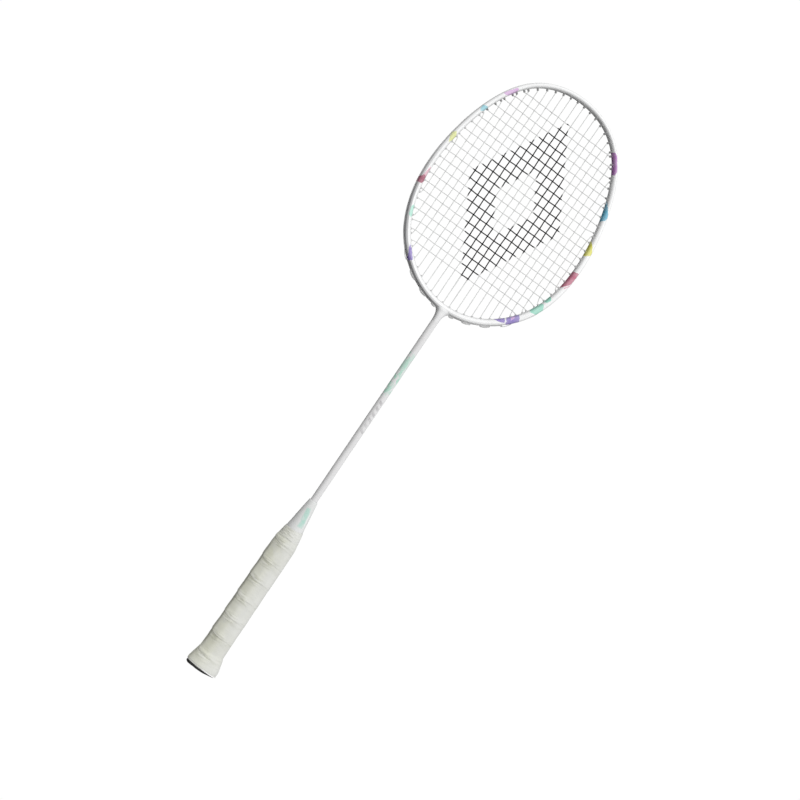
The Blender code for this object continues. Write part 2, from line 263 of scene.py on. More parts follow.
def piece(name, rows, faces, material, *nodes):
    """A smooth mesh piece that rides on the racket and stands for the named CAD nodes."""
    mesh = bpy.data.meshes.new(name)
    mesh.from_pydata((np.asarray(rows, float) * MM).tolist(), [], faces)
    mesh.polygons.foreach_set("use_smooth", [True] * len(mesh.polygons))
    mesh.materials.append(material)
    mesh.set_sharp_from_angle(angle=math.radians(SHARP_DEGREES))
    thing = bpy.data.objects.new(name, mesh)
    bpy.context.collection.objects.link(thing)
    fix_normals(thing)
    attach(thing, "root")
    if nodes:
        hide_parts(*nodes)
    return thing


def fix_normals(thing):
    """Outward normals, whichever way the rings were listed."""
    tool = bmesh.new()
    tool.from_mesh(thing.data)
    bmesh.ops.recalc_face_normals(tool, faces=tool.faces)
    tool.to_mesh(thing.data)
    tool.free()


def sweep(path, profile, sizes):
    """Rows of a profile (sideways, up) carried along a path, scaled by sizes, mitred at the corners."""
    path = np.asarray(path, float)
    step = np.diff(path, axis=0)
    step /= np.linalg.norm(step, axis=1)[:, None]
    before, after = np.vstack([step[:1], step]), np.vstack([step, step[-1:]])
    along = before + after
    along /= np.linalg.norm(along, axis=1)[:, None]
    mitre = 1 / np.clip((along * after).sum(1), 0.7, 1.0)
    side = np.cross(along, (0.0, 0.0, 1.0))
    side /= np.linalg.norm(side, axis=1)[:, None]
    up = np.cross(side, along)
    profile = np.asarray(profile, float)[None] * np.asarray(sizes, float)[:, None, None]
    wide = side[:, None] * (profile[:, :, :1] * mitre[:, None, None])
    return (path[:, None] + wide + up[:, None] * profile[:, :, 1:]).reshape(-1, 3)


def circle(radius, sides):
    turns = np.arange(sides) / sides * TURN
    return np.stack([radius * np.cos(turns), radius * np.sin(turns)], -1)


def lathe(pairs, sides, stretch=None):
    """Round rings about the handle axis from (distance, radius) pairs."""
    turns = np.arange(sides) / sides * TURN
    rows = []
    for k, (y, r) in enumerate(pairs):
        wide, deep = (1.0, 1.0) if stretch is None else stretch[k]
        ring = (r * wide * np.cos(turns), np.full(sides, y), r * deep * np.sin(turns))
        rows.append(np.stack(ring, -1))
    return np.concatenate(rows)


def spun(name, pairs, sides, closed, material, *nodes, stretch=None):
    """A piece turned about the handle axis: a closed loop of rings, or a solid with two ends."""
    faces = ring_faces(len(pairs), sides, closed)
    return piece(name, lathe(pairs, sides, stretch), faces, material, *nodes)


def eased(table, samples):
    """A smooth curve through (position, value) pairs."""
    spots, values = np.array(table, float).T
    samples = np.clip(samples, spots[0], spots[-1])
    secants = np.diff(values) / np.diff(spots)
    before, after = np.r_[secants[0], secants], np.r_[secants, secants[-1]]
    both = before * after
    slopes = np.where(both > 0, 2 * both / np.where(both > 0, before + after, 1.0), 0.0)
    at = np.clip(np.searchsorted(spots, samples) - 1, 0, len(spots) - 2)
    gap = spots[at + 1] - spots[at]
    t = (samples - spots[at]) / gap
    h00, h10 = 2 * t**3 - 3 * t**2 + 1, t**3 - 2 * t**2 + t
    h01, h11 = -2 * t**3 + 3 * t**2, t**3 - t**2
    ends = h00 * values[at] + h01 * values[at + 1]
    return ends + gap * (h10 * slopes[at] + h11 * slopes[at + 1])


# ---------------------------------------------------------------- node materials

def put(tree, socket, value):
    """Sets an input to a value, or links it to an output."""
    if isinstance(value, bpy.types.NodeSocket):
        tree.links.new(value, socket)
    elif hasattr(value, "__len__") and len(value) == 3 and socket.type == "RGBA":
        socket.default_value = (*value, 1.0)
    else:
        socket.default_value = value


def add_node(tree, kind, inputs=(), **settings):
    """A node with its settings and its inputs: values in order, or pairs of key and value."""
    node = tree.nodes.new("ShaderNode" + kind)
    for key, setting in settings.items():
        setattr(node, key, setting)
    for key, value in inputs.items() if isinstance(inputs, dict) else enumerate(inputs):
        put(tree, node.inputs[key], value)
    return node


class Look:
    """A procedural material; most calls add a node and return its output."""

    def __init__(self, name, roughness=0.5, metallic=0.0, coat=0.0, coat_roughness=0.05):
        self.material = bpy.data.materials.new(name)
        self.material.use_nodes = True
        self.tree = self.material.node_tree
        self.shader = self.tree.nodes["Principled BSDF"]
        for key, value in (("Roughness", roughness), ("Metallic", metallic),
                           ("Coat Weight", coat), ("Coat Roughness", coat_roughness)):
            self.put(key, value)
        self.place = self.add("TexCoord").outputs["Object"]
        parts = self.add("SeparateXYZ", (self.place,))
        self.x, self.y, self.z = (self.times(parts.outputs[k], 1 / MM) for k in range(3))

    def add(self, kind, inputs=(), **settings):
        return add_node(self.tree, kind, inputs, **settings)

    def put(self, key, value):
        put(self.tree, self.shader.inputs[key], value)

    def math(self, operation, *values):
        return self.add("Math", values, operation=operation).outputs[0]

    def times(self, a, b):
        return self.math("MULTIPLY", a, b)

    def plus(self, a, b):
        return self.math("ADD", a, b)

    def dot(self, where, direction):
        return self.add("VectorMath", (where, direction), operation="DOT_PRODUCT").outputs["Value"]

    def from_axis(self):
        """Distance from the handle's axis."""
        return self.math("SQRT", self.plus(self.times(self.x, self.x), self.times(self.z, self.z)))

    def fade(self, value, low, high, start=0.0, end=1.0):
        """Runs smoothly from start to end as value goes from low to high."""
        inputs = (value, low, high, start, end)
        return self.add("MapRange", inputs, interpolation_type="SMOOTHSTEP").outputs[0]

    def between(self, value, low, high, soft):
        """1 where value lies between low and high, with soft ends, else 0."""
        return self.times(self.fade(value, low, low + soft), self.fade(value, high - soft, high, 1.0, 0.0))

    def mix(self, share, a, b):
        return self.add("Mix", {0: share, 6: a, 7: b}, data_type="RGBA").outputs[2]

    def spot(self, x, y, z=0.0):
        """A point made from three numbers or outputs."""
        return self.add("CombineXYZ", (x, y, z)).outputs[0]

    def noise(self, scale, detail=3.0, where=None, rough=0.5):
        inputs = {"Vector": where or self.place, "Scale": scale, "Detail": detail, "Roughness": rough}
        return self.add("TexNoise", inputs).outputs[0]

    def cells(self, scale, where=None, output="Distance"):
        return self.add("TexVoronoi", {"Vector": where or self.place, "Scale": scale}).outputs[output]

    def bump(self, height, distance, strength=1.0):
        """Adds relief of that many metres."""
        inputs = {"Strength": strength, "Distance": distance, "Height": height}
        linked = self.shader.inputs["Normal"].links
        if linked:
            inputs["Normal"] = linked[0].from_socket
        self.put("Normal", self.add("Bump", inputs).outputs[0])

    def colour(self, value):
        self.put("Base Color", value)
        return self.material

    def rough(self, value):
        self.put("Roughness", value)

    def within(self, corners, place=None, soft=0.12):
        """1 inside a convex outline on the face of the racket, else 0; corners are (x, y) in mm."""
        corners = np.asarray(corners, float)
        middle, far = corners.mean(axis=0), None
        for here, there in zip(corners, np.roll(corners, -1, axis=0)):
            away = np.array((there[1] - here[1], here[0] - there[0])) / np.hypot(*(there - here))
            away *= math.copysign(1.0, (here - middle) @ away)
            across = self.dot(place or self.place, (away[0] / MM, away[1] / MM, 0.0))
            gap = self.plus(across, -float(here @ away))
            far = gap if far is None else self.math("MAXIMUM", far, gap)
        return self.fade(far, -soft, soft, 1.0, 0.0)


PURPLE = (0.42, 0.17, 0.46)
TEAL = (0.12, 0.30, 0.36)
BLUE = (0.10, 0.40, 0.56)
YELLOW = (0.70, 0.68, 0.10)
CRIMSON = (0.47, 0.11, 0.19)
# ROSE is a pink patch on the left, and a painted highlight on the crimson patch on the right.
ROSE = (0.68, 0.40, 0.48)
MINT = (0.30, 0.66, 0.53)
VIOLET = (0.24, 0.17, 0.50)
LILAC = (0.66, 0.43, 0.70)
PALE_BLUE = (0.30, 0.60, 0.68)
PALE_YELLOW = (0.68, 0.71, 0.29)
WINE = (0.36, 0.09, 0.15)
PALE_MINT = (0.45, 0.75, 0.64)
WHITE = (0.85, 0.853, 0.855)
# Grey of the painted shade on the lower left of the frame and the grommets.
SIDE_SHADE_GREY = (0.39, 0.392, 0.40)
PEARL = 0.3

# Colour patches on the head: side, colour, corners (distance along the rim from the top, outwards).
PATCHES = (
    (1, PURPLE, ((60.0, -4.0), (61.0, 0.6), (66.0, 1.9), (80.0, 1.7), (83.5, -1.0), (82.5, -4.0))),
    (1, TEAL, ((101.0, -4.2), (103.0, -2.7), (118.0, -3.0), (118.0, -4.4))),
    (1, BLUE, ((109.5, -2.9), (126.5, 3.2), (129.5, 1.0), (132.5, -3.9), (111.0, -4.3))),
    (1, YELLOW, ((150.5, -4.2), (166.0, 4.4), (171.5, -4.2))),
    (1, CRIMSON, ((188.0, 3.6), (202.0, 3.0), (207.0, -0.5), (214.5, -4.4), (190.0, -4.6))),
    # Pale pink streak on the crimson patch: a painted highlight.
    (1, ROSE, ((203.0, 3.8), (210.0, 0.6), (209.0, -0.3), (202.0, 2.8))),
    (1, MINT, ((212.0, -3.4), (221.0, -3.2), (221.0, -4.6), (212.0, -4.5))),
    (1, MINT, ((223.0, -4.6), (226.5, 0.4), (231.5, -0.4), (235.0, -4.6))),
    (1, MINT, ((235.0, -1.5), (239.0, 3.8), (247.5, 3.8), (251.5, -1.5), (248.0, -4.6), (237.0, -3.4))),
    (1, VIOLET, ((262.5, -2.5), (265.0, 3.8), (278.0, 4.0), (280.0, 0.5), (275.0, -3.8), (264.0, -3.6))),
    (1, LILAC, ((267.5, -2.8), (268.5, -0.8), (273.0, 0.4), (271.5, -2.4))),
    (1, WHITE, ((273.4, -3.9), (275.6, -3.9), (280.6, 1.4), (280.4, 4.4), (278.4, 4.2), (277.6, 0.6))),
    (1, VIOLET, ((279.8, 1.6), (286.0, -0.8), (290.5, -3.8), (278.0, -3.6))),
    (-1, LILAC, ((71.0, 1.2), (86.0, 1.8), (84.0, -1.6), (79.0, -4.2), (74.5, -4.0), (70.0, -0.6))),
    (-1, PALE_BLUE,
     ((106.0, -2.2), (109.0, 2.4), (112.5, 1.4), (115.5, -0.6), (111.0, -3.2), (108.0, -5.0))),
    (-1, PALE_YELLOW,
     ((146.0, 0.3), (149.0, 2.8), (154.0, 1.8), (159.5, -1.2), (155.0, -2.6), (150.0, -3.6))),
    (-1, ROSE, ((189.0, -1.4), (200.0, 1.0), (200.0, -2.6), (190.0, -2.4))),
    (-1, WINE, ((199.0, 0.0), (203.0, 3.8), (207.5, 3.6), (208.0, -1.0), (205.0, -3.0), (200.0, -2.2))),
    (-1, PALE_MINT, ((228.5, -3.6), (232.0, 0.4), (240.0, 1.2), (243.0, -1.4), (238.0, -3.8))),
    (-1, VIOLET, ((258.0, -2.2), (272.0, 0.4), (277.5, 4.4), (284.0, 4.2), (285.5, -2.8), (274.0, -2.2))),
)


def painted_side_shade(look):
    """Painted shade: how far the lower left of the frame is toned grey, on what faces out and down."""
    lean = look.dot(look.place.node.outputs["Normal"], (-1.0, -0.25, 0.0))
    low = look.times(look.fade(look.y, 480.0, 575.0, 1.0, 0.1), look.fade(look.x, -12.0, 0.0, 1.0, 0.0))
    return look.times(look.fade(lean, 0.05, 0.5, 0.0, 0.85), low)


def lacquer(name, base, pearl=0.0):
    """Glossy paint over carbon: faint orange peel, dust and a slightly uneven tone."""
    look = Look(name, roughness=0.28, metallic=pearl, coat=0.5, coat_roughness=0.06)
    tone = look.mix(look.fade(look.noise(60.0, 4.0), 0.35, 0.7), base, [c * 0.955 for c in base])
    look.bump(look.noise(900.0, 2.0), 0.00004, 0.35)
    look.rough(look.fade(look.noise(220.0, 5.0), 0.3, 0.75, 0.26, 0.40))
    return look, tone


def frame_paint():
    """White lacquer, greyer at the neck, with painted shade on the lower left and coloured splinters round
    the head, one of them a painted highlight on the crimson splinter.
    """
    look, tone = lacquer("frame_lacquer", WHITE, PEARL)
    tone = look.mix(look.fade(look.y, 412.0, 425.0, 1.0, 0.0), tone, (0.70, 0.70, 0.705))
    wobble = (look.cells(700.0, output="Color"), (0.0005, 0.0005, 0.0), look.place)
    jitter = look.add("VectorMath", wobble, operation="MULTIPLY_ADD").outputs["Vector"]
    # Painted shade: grey on the lower left's faces that look out and down.
    tone = look.mix(painted_side_shade(look), tone, SIDE_SHADE_GREY)
    streak = look.fade(look.noise(160.0, 3.0), 0.3, 0.7, 0.8, 1.0)
    for side, colour, corners in PATCHES:
        spots = [rim(np.interp(arc, ARC, PHIS), out) * (side, 1) for arc, out in corners]
        inside = look.within(spots, jitter)
        tone = look.mix(look.times(inside, streak), tone, colour)
    return look.colour(tone)


# Marks on the shaft, from the butt: the field of mint shards, and the row of ticks and its pitch.
MINT_SPAN = (319.0, 370.5)
TICK_SPAN = (275.0, 315.0)
TICK_PITCH = 6.6


def shaft_paint():
    """Pale lacquer with a field of mint shards and a row of plain grey ticks."""
    look, tone = lacquer("shaft_lacquer", (0.69, 0.687, 0.69))
    turned = look.math("ARCTAN2", look.z, look.x)
    spread = look.spot(look.times(turned, 3.0), look.times(look.y, 0.36), 0.0)
    shade = look.cells(0.6, spread, "Color")
    split = look.add("SeparateColor", (shade,))
    jag = look.times(look.plus(split.outputs[1], -0.5), 9.0)
    ragged = look.plus(look.y, jag)
    field = look.between(ragged, *MINT_SPAN, 1.0)
    mint = look.times(field, look.fade(split.outputs[0], 0.28, 0.30))
    tone = look.mix(look.times(mint, look.fade(split.outputs[2], 0.0, 1.0, 0.25, 1.0)),
                    tone, (0.40, 0.64, 0.53))
    upper = look.fade(look.z, 1.2, 1.7)
    slanted = look.plus(look.y, look.times(look.x, 0.55))
    bars = look.between(look.math("FRACT", look.times(slanted, 1 / TICK_PITCH)), 0.05, 0.60, 0.05)
    row = look.between(slanted, *TICK_SPAN, 0.6)
    column = look.fade(look.math("ABSOLUTE", look.plus(look.x, -0.6)), 1.7, 1.95, 1.0, 0.0)
    ticks = look.times(look.times(bars, row), look.times(upper, column))
    worn = look.fade(look.noise(130.0, 2.0), 0.35, 0.65, 0.3, 0.8)
    return look.colour(look.mix(look.times(ticks, worn), tone, (0.42, 0.41, 0.42)))


# Mint mark on the cone: strength and corners (x, y) of each splinter.
CONE_MARK = (
    (0.45, ((-1.4, 167.4), (4.4, 167.6), (4.6, 174.0), (2.4, 177.5), (-1.0, 174.0))),
    (0.45, ((-1.8, 174.5), (3.9, 172.5), (3.2, 183.0), (1.2, 189.0), (-2.8, 188.0))),
    (0.5, ((-0.2, 168.8), (2.4, 169.2), (2.8, 176.0), (0.6, 175.0))),
    (0.5, ((-1.4, 180.0), (3.0, 175.5), (2.2, 184.0), (0.0, 188.0), (-2.2, 187.0))),
)


def cone_plastic():
    """Smooth moulded plastic with a broken mint mark on the upper side, and a painted highlight beside it.
    """
    look = Look("cone_plastic", roughness=0.3, coat=0.25, coat_roughness=0.15)
    base = look.mix(look.fade(look.noise(90.0, 4.0), 0.35, 0.7), (0.68, 0.685, 0.68), (0.63, 0.645, 0.635))
    upper = look.fade(look.z, 0.5, 1.5)
    look.bump(look.noise(1400.0, 2.0), 0.00003, 0.5)
    tone = base
    for share, corners in CONE_MARK:
        mark = look.times(look.within(corners, soft=0.25), upper)
        tone = look.mix(look.times(mark, share), tone, (0.34, 0.60, 0.51))
    # Painted highlight: a pale streak along the right of the mint mark.
    painted_highlight = look.times(look.within(((4.5, 171.0), (5.4, 171.0), (3.9, 184.0), (3.2, 184.0))), upper)
    return look.colour(look.mix(look.times(painted_highlight, 0.5), tone, (0.80, 0.86, 0.84)))


def tape_tone(look):
    """The mottled grey-white of handled polyurethane tape, yellower on the left, with painted shade along
    the right edge.
    """
    facing = look.math("DIVIDE", look.x, look.from_axis())
    left = look.fade(facing, -0.8, 0.35, 1.0, 0.0)
    mottle = look.fade(look.noise(38.0, 5.0), 0.38, 0.68)
    clean = look.mix(mottle, (0.66, 0.665, 0.63), (0.63, 0.635, 0.585))
    grimy = look.mix(mottle, (0.70, 0.705, 0.615), (0.635, 0.64, 0.525))
    base = look.mix(left, clean, grimy)
    worn = look.times(look.fade(look.noise(150.0, 4.0), 0.45, 0.8), 0.5)
    base = look.mix(worn, base, (0.68, 0.685, 0.66))
    # Painted shade: darker along the right edge, where the grip turns away.
    return look.mix(look.fade(facing, 0.74, 0.98, 0.0, 0.3), base, (0.42, 0.42, 0.41))


def grip_tape():
    """Soft polyurethane: fine pores, a matte sheen and wrinkles, with painted shade and highlights at the
    seams, folds, left edge and tape end, and grime mixed with painted shade beside each overlap.
    """
    look = Look("grip_polyurethane", roughness=0.72)
    angle = look.math("ARCTAN2", look.z, look.x)
    facing = look.math("COSINE", angle)
    turned = look.plus(look.times(angle, 1 / TURN), look.times(facing, WRAP_SWAY))
    climbed = look.times(look.plus(look.y, -WRAP_START), 1 / WRAP_PITCH)
    wrap = look.math("FRACT", look.plus(look.plus(climbed, look.times(turned, -1.0)), 8.0))
    uneven = look.fade(look.noise(26.0, 2.0), 0.38, 0.62, 0.35, 1.0)
    # Seam marks are weighted towards the shaded left and fade on the lit right.
    leftward = look.times(look.fade(facing, -0.8, 0.4, 1.0, 0.15), uneven)
    crease = look.times(look.fade(wrap, 0.93, 0.995), leftward)
    lip = look.times(look.fade(wrap, 0.0, 0.012), look.fade(wrap, 0.03, 0.10, 1.0, 0.0))
    # Darker, greener band below each overlap: part grime, part painted shade.
    band = look.times(look.fade(wrap, 0.55, 0.97), leftward)
    tone = look.mix(look.times(band, 0.3), tape_tone(look), (0.47, 0.475, 0.37))
    swirl = look.spot(look.times(angle, 1.1), look.times(wrap, 9.0), look.times(look.y, 0.055))
    streaks = look.noise(1.0, 3.0, swirl, 0.6)
    near = look.plus(look.fade(wrap, 0.62, 0.95), look.fade(wrap, 0.05, 0.34, 1.0, 0.0))
    pinch = look.times(near, look.fade(facing, -0.35, 0.35, 1.0, 0.35))
    # Painted shade in the folds beside each seam, strongest on the left.
    dark = look.times(look.times(pinch, look.fade(streaks, 0.50, 0.62)), 0.45)
    tone = look.mix(dark, tone, (0.34, 0.345, 0.27))
    # Painted highlight on the folds' ridges.
    pale = look.times(look.times(pinch, look.fade(streaks, 0.36, 0.46, 1.0, 0.0)), 0.5)
    tone = look.mix(pale, tone, (0.78, 0.78, 0.74))
    # Painted shade in the crease under each overlap.
    tone = look.mix(look.times(crease, 0.6), tone, (0.36, 0.36, 0.29))
    # Painted highlight on the raised lip of each wrap.
    tone = look.mix(look.times(look.times(lip, leftward), 0.5), tone, (0.76, 0.76, 0.71))
    # Painted shade along the far left edge, over the middle of the grip.
    shaded_edge_span = look.times(look.fade(look.y, 20.0, 30.0), look.fade(look.y, 130.0, 146.0, 1.0, 0.0))
    tone = look.mix(look.times(look.fade(facing, -0.985, -0.9, 0.5, 0.0), shaded_edge_span), tone, (0.25, 0.255, 0.20))
    upright = look.math("POWER", look.math("ABSOLUTE", look.math("SINE", angle)), 2.0)
    level = look.plus(look.y, look.plus(look.times(facing, END_SLANT), look.times(upright, -END_CROWN)))
    rise = look.plus(level, -END_LEVEL)
    clean = look.fade(rise, 1.35, 1.6, 1.0, 0.0)
    highlight_right = look.fade(facing, -0.15, 0.05, 0.35, 1.0)
    line = look.times(look.fade(rise, 1.4, 1.6), look.fade(rise, 1.8, 2.1, 1.0, 0.0))
    tone = look.mix(look.times(line, 0.5), tone, (0.34, 0.34, 0.32))
    # Pale end lip of the tape, brighter on the right as a painted highlight.
    tone = look.mix(look.times(clean, highlight_right), tone, (0.93, 0.93, 0.92))
    look.bump(look.fade(look.cells(900.0), 0.0, 0.45), 0.00010, 0.55)
    look.bump(look.noise(260.0, 5.0), 0.00022, 0.45)
    look.bump(look.times(pinch, streaks), 0.0011, 0.7)
    drift = look.spot(look.times(angle, 0.9), look.times(wrap, 5.0), look.times(look.y, 0.05))
    look.bump(look.noise(1.0, 2.0, drift), 0.0009, 0.45)
    look.rough(look.fade(look.noise(120.0, 3.0), 0.3, 0.7, 0.62, 0.82))
    look.put("Sheen Weight", 0.12)
    return look.colour(tone)


def band_tape():
    """Thin satin tape that closes the top of the grip, wrinkled by hand, with painted shade and highlights
    on its creases.
    """
    look = Look("finishing_band", roughness=0.5)
    slanted = look.plus(look.y, look.times(look.x, 0.25))
    wander = look.spot(look.times(look.x, 0.10), look.times(slanted, 0.42), look.times(look.z, 0.1))
    creased = look.noise(1.0, 3.0, wander, 0.6)
    look.bump(creased, 0.0016, 0.7)
    look.bump(look.noise(500.0, 4.0), 0.00008, 0.6)
    base = look.mix(0.35, tape_tone(look), (0.68, 0.685, 0.67))
    # Painted shade and painted highlights that follow the crease relief.
    tone = look.mix(look.fade(creased, 0.52, 0.66, 0.0, 0.3), base, (0.42, 0.425, 0.38))
    return look.colour(look.mix(look.fade(creased, 0.34, 0.46, 0.4, 0.0), tone, (0.80, 0.80, 0.78)))


def string_look(name):
    """Clear-coated braid, inked black where the plain diamond stencil lies."""
    look = Look(name, roughness=0.38)
    plain = look.mix(look.fade(look.noise(120.0, 2.0), 0.3, 0.7), (0.74, 0.745, 0.74), (0.64, 0.645, 0.64))
    across = look.times(look.math("ABSOLUTE", look.x), 1 / STENCIL_WIDE)
    along = look.times(look.math("ABSOLUTE", look.plus(look.y, -STENCIL_MIDDLE)), 1 / STENCIL_LONG)
    rough_edge = look.times(look.plus(look.noise(300.0, 2.0), -0.5), 0.02)
    reach = look.plus(look.plus(across, along), rough_edge)
    ink = look.times(look.fade(reach, 0.985, 1.0, 1.0, 0.0),
                     look.fade(reach, STENCIL_HOLE, STENCIL_HOLE + 0.015))
    patchy = look.fade(look.noise(420.0, 4.0), 0.22, 0.38, 0.8, 1.0)
    share = look.times(ink, patchy)
    look.rough(look.fade(share, 0.0, 1.0, 0.38, 0.85))
    look.put("Specular IOR Level", look.fade(share, 0.0, 1.0, 0.5, 0.03))
    look.bump(look.noise(2600.0, 2.0), 0.00002, 0.6)
    return look.colour(look.mix(share, plain, (0.003, 0.003, 0.004)))


def nylon(name, shade):
    """Moulded nylon for the grommets, milky; the crown's copy is greyer as painted shade, and both get
    painted shade on the lower left.
    """
    look = Look(name, roughness=0.42)
    base = look.mix(look.fade(look.noise(200.0, 3.0), 0.3, 0.7), [shade] * 3, [shade * 0.82] * 3)
    # Painted shade on the lower left, as on the frame.
    base = look.mix(painted_side_shade(look), base, SIDE_SHADE_GREY)
    look.bump(look.noise(1800.0, 2.0), 0.00002, 0.6)
    return look.colour(base)


def black_plastic():
    """Moulded black plastic with a fine grain and paler rubbed spots."""
    look = Look("cap_plastic", roughness=0.4)
    rub = look.fade(look.noise(140.0, 5.0), 0.55, 0.8)
    look.bump(look.cells(1500.0), 0.00003, 0.7)
    look.rough(look.fade(look.noise(90.0, 4.0), 0.3, 0.7, 0.32, 0.5))
    return look.colour(look.mix(look.times(rub, 0.35), (0.012, 0.012, 0.012), (0.07, 0.07, 0.07)))


def badge_foil():
    """Brushed grey foil with plain rings and spokes."""
    look = Look("badge_foil", roughness=0.35, metallic=0.6)
    radius = look.from_axis()
    turned = look.math("FRACT", look.times(look.math("ARCTAN2", look.z, look.x), 8 / TURN))
    off_spoke = look.math("ABSOLUTE", look.plus(turned, -0.5))
    spoke = look.times(look.fade(off_spoke, 0.10, 0.13, 1.0, 0.0), look.between(radius, 3.0, 7.4, 0.2))
    brushed = look.fade(look.noise(700.0, 4.0, look.spot(look.times(radius, 0.02), turned, 0.0)), 0.3, 0.7)
    base = look.mix(brushed, (0.33, 0.34, 0.35), (0.46, 0.47, 0.48))
    look.bump(brushed, 0.00001, 0.4)
    return look.colour(look.mix(spoke, base, (0.06, 0.06, 0.065)))


def wood():
    """Pale straight-grained wood."""
    look = Look("core_wood", roughness=0.65)
    stretched = look.spot(look.x, look.times(look.y, 0.06), look.z)
    grain = look.noise(0.9, 6.0, stretched, 0.65)
    look.bump(grain, 0.00015, 0.5)
    return look.colour(look.mix(look.fade(grain, 0.35, 0.65), (0.52, 0.33, 0.16), (0.68, 0.49, 0.29)))


def carbon():
    """Bare carbon composite with a fine crossing weave."""
    look = Look("bare_carbon", roughness=0.35, coat=0.3)
    twill = look.math("SINE", look.times(look.plus(look.y, look.times(look.x, 1.4)), 3.2))
    counter = look.math("SINE", look.times(look.plus(look.y, look.times(look.x, -1.4)), 3.2))
    weave = look.fade(look.times(twill, counter), -0.4, 0.4)
    look.bump(weave, 0.00003, 0.5)
    return look.colour(look.mix(weave, (0.012, 0.012, 0.014), (0.05, 0.05, 0.055)))


# ---------------------------------------------------------------- string pattern

def make_holes():
    """Holes of the right half of the rim, from the top to the throat, as in the CAD model."""
    lines = []
    for k in range(MAINS // 2):
        x = (k + 0.5) * MAIN_PITCH
        lines.append(("top", k, np.interp(x, BED[: WIDEST + 1, 0], ARC[: WIDEST + 1])))
        low = slice(None, WIDEST - 1, -1)
        lines.append(("low", k, np.interp(x, BED[low, 0], ARC[low])))
    for j in range(CROSSES):
        y = FIRST_CROSS + j * CROSS_PITCH
        lines.append(("side", j, np.interp(-y, -BED[:, 1], ARC)))
    lines.sort(key=lambda line: line[2])
    arcs = [line[2] for line in lines]
    for _ in range(SPREAD_PASSES):
        for k in range(len(arcs) - 1):
            short = HOLE_GAP - (arcs[k + 1] - arcs[k])
            if short > 0:
                arcs[k] -= short / 2
                arcs[k + 1] += short / 2
    holes = []
    for (kind, index, _), arc in zip(lines, arcs):
        phi_in = float(np.interp(arc, ARC, PHIS))
        phi_out = phi_in
        if kind == "low" and index == 0:
            phi_out = float(np.interp(ARC[-1] - THROAT_CLEAR, ARC, PHIS))
        level = -WEAVE if kind == "side" else WEAVE
        holes.append({"key": (kind, index), "phi_in": phi_in, "phi_out": phi_out, "z": level})
    return holes


HOLES = make_holes()
BY_KEY = {hole["key"]: hole for hole in HOLES}


def on_axis(hole, side, inwards=None, outwards=0.0):
    """A point on a hole's axis, inwards of its inner lip or outwards of the groove floor."""
    inner = rim(hole["phi_in"], -RIM_HALF_WIDTH - BARREL_LIP)
    outer = rim(hole["phi_out"], groove_floor(hole["phi_out"]))
    axis = (outer - inner) / np.linalg.norm(outer - inner)
    point = outer + axis * outwards if inwards is None else inner - axis * inwards
    return np.array((side * point[0], point[1], hole["z"]))


def over(hole, side):
    """The two corners of a string at a hole: clear of the inner lip, then the outer loop."""
    return [(on_axis(hole, side, inwards=BEND_RISE), False),
            (on_axis(hole, side, outwards=LOOP_LIFT), False)]


LOOPS = [(BY_KEY[("low", k + 1)]["phi_out"], BY_KEY[("low", k)]["phi_out"]) for k in range(0, 10, 2)]


def hump(phi):
    """How proud a loop of the main string stands over its pad at the foot of the head, 0 to 1."""
    folded = np.minimum(phi % TURN, TURN - phi % TURN)
    for start, end in LOOPS:
        if start < folded < end:
            return math.sin(math.pi * (folded - start) / (end - start))
    return 0.0


def around(kind, low_index, side, level):
    """The run of a string outside the rim between two of its holes, over the ones between."""
    first = HOLES.index(BY_KEY[(kind, low_index)])
    last = HOLES.index(BY_KEY[(kind, low_index + 1)])
    low, high = sorted((first, last))
    run = []
    if kind == "low":
        ends = [HOLES[first]["phi_out"], HOLES[last]["phi_out"]]
        for phi in np.linspace(*ends, 9)[1:-1]:
            x, y = rim(phi, groove_floor(phi) + LOOP_LIFT + LOOP_RISE * hump(phi))
            run.append((np.array((side * x, y, level)), False))
        return run
    for hole in HOLES[low + 1 : high]:
        x, y = rim(hole["phi_out"], groove_floor(hole["phi_out"]) + LOOP_LIFT)
        run.append((np.array((side * x, y, level)), False))
    return run if first < last else run[::-1]


def sits_inside(x, y):
    """Whether a crossing lies clear of the rim."""
    low, high = BED[WIDEST:][::-1], BED[: WIDEST + 1]
    if abs(x) >= BED[WIDEST, 0]:
        return False
    return np.interp(abs(x), *low.T) < y < np.interp(abs(x), *high.T)


def crossing(i, j, level):
    x = (i - (MAINS - 1) / 2) * MAIN_PITCH
    y = FIRST_CROSS + j * CROSS_PITCH
    return [(np.array((x, y, level * (-1) ** (i + j))), True)] if sits_inside(x, y) else []


def main_route():
    """All mains as one string: up and down, looping outside the rim at each end."""
    route = []
    for i in range(MAINS):
        x = (i - (MAINS - 1) / 2) * MAIN_PITCH
        side = 1 if x > 0 else -1
        k = int(abs(x) // MAIN_PITCH)
        leg = over(BY_KEY[("low", k)], side)[::-1]
        for j in range(CROSSES):
            leg += crossing(i, j, WEAVE)
        leg += over(BY_KEY[("top", k)], side)
        route += leg if i % 2 == 0 else leg[::-1]
        if i < MAINS - 1 and i != MAINS // 2 - 1:
            end = "top" if i % 2 == 0 else "low"
            outward = around(end, k if side > 0 else k - 1, side, WEAVE)
            route += outward if side > 0 else outward[::-1]
    return route


def cross_route():
    """All crosses as one string: side to side, woven the other way at every crossing."""
    route = []
    for j in range(CROSSES):
        leg = over(BY_KEY[("side", j)], -1)[::-1]
        for i in range(MAINS):
            leg += crossing(i, j, -WEAVE)
        leg += over(BY_KEY[("side", j)], 1)
        route += leg if j % 2 == 0 else leg[::-1]
        if j < CROSSES - 1:
            route += around("side", j, 1 if j % 2 == 0 else -1, -WEAVE)
    return route


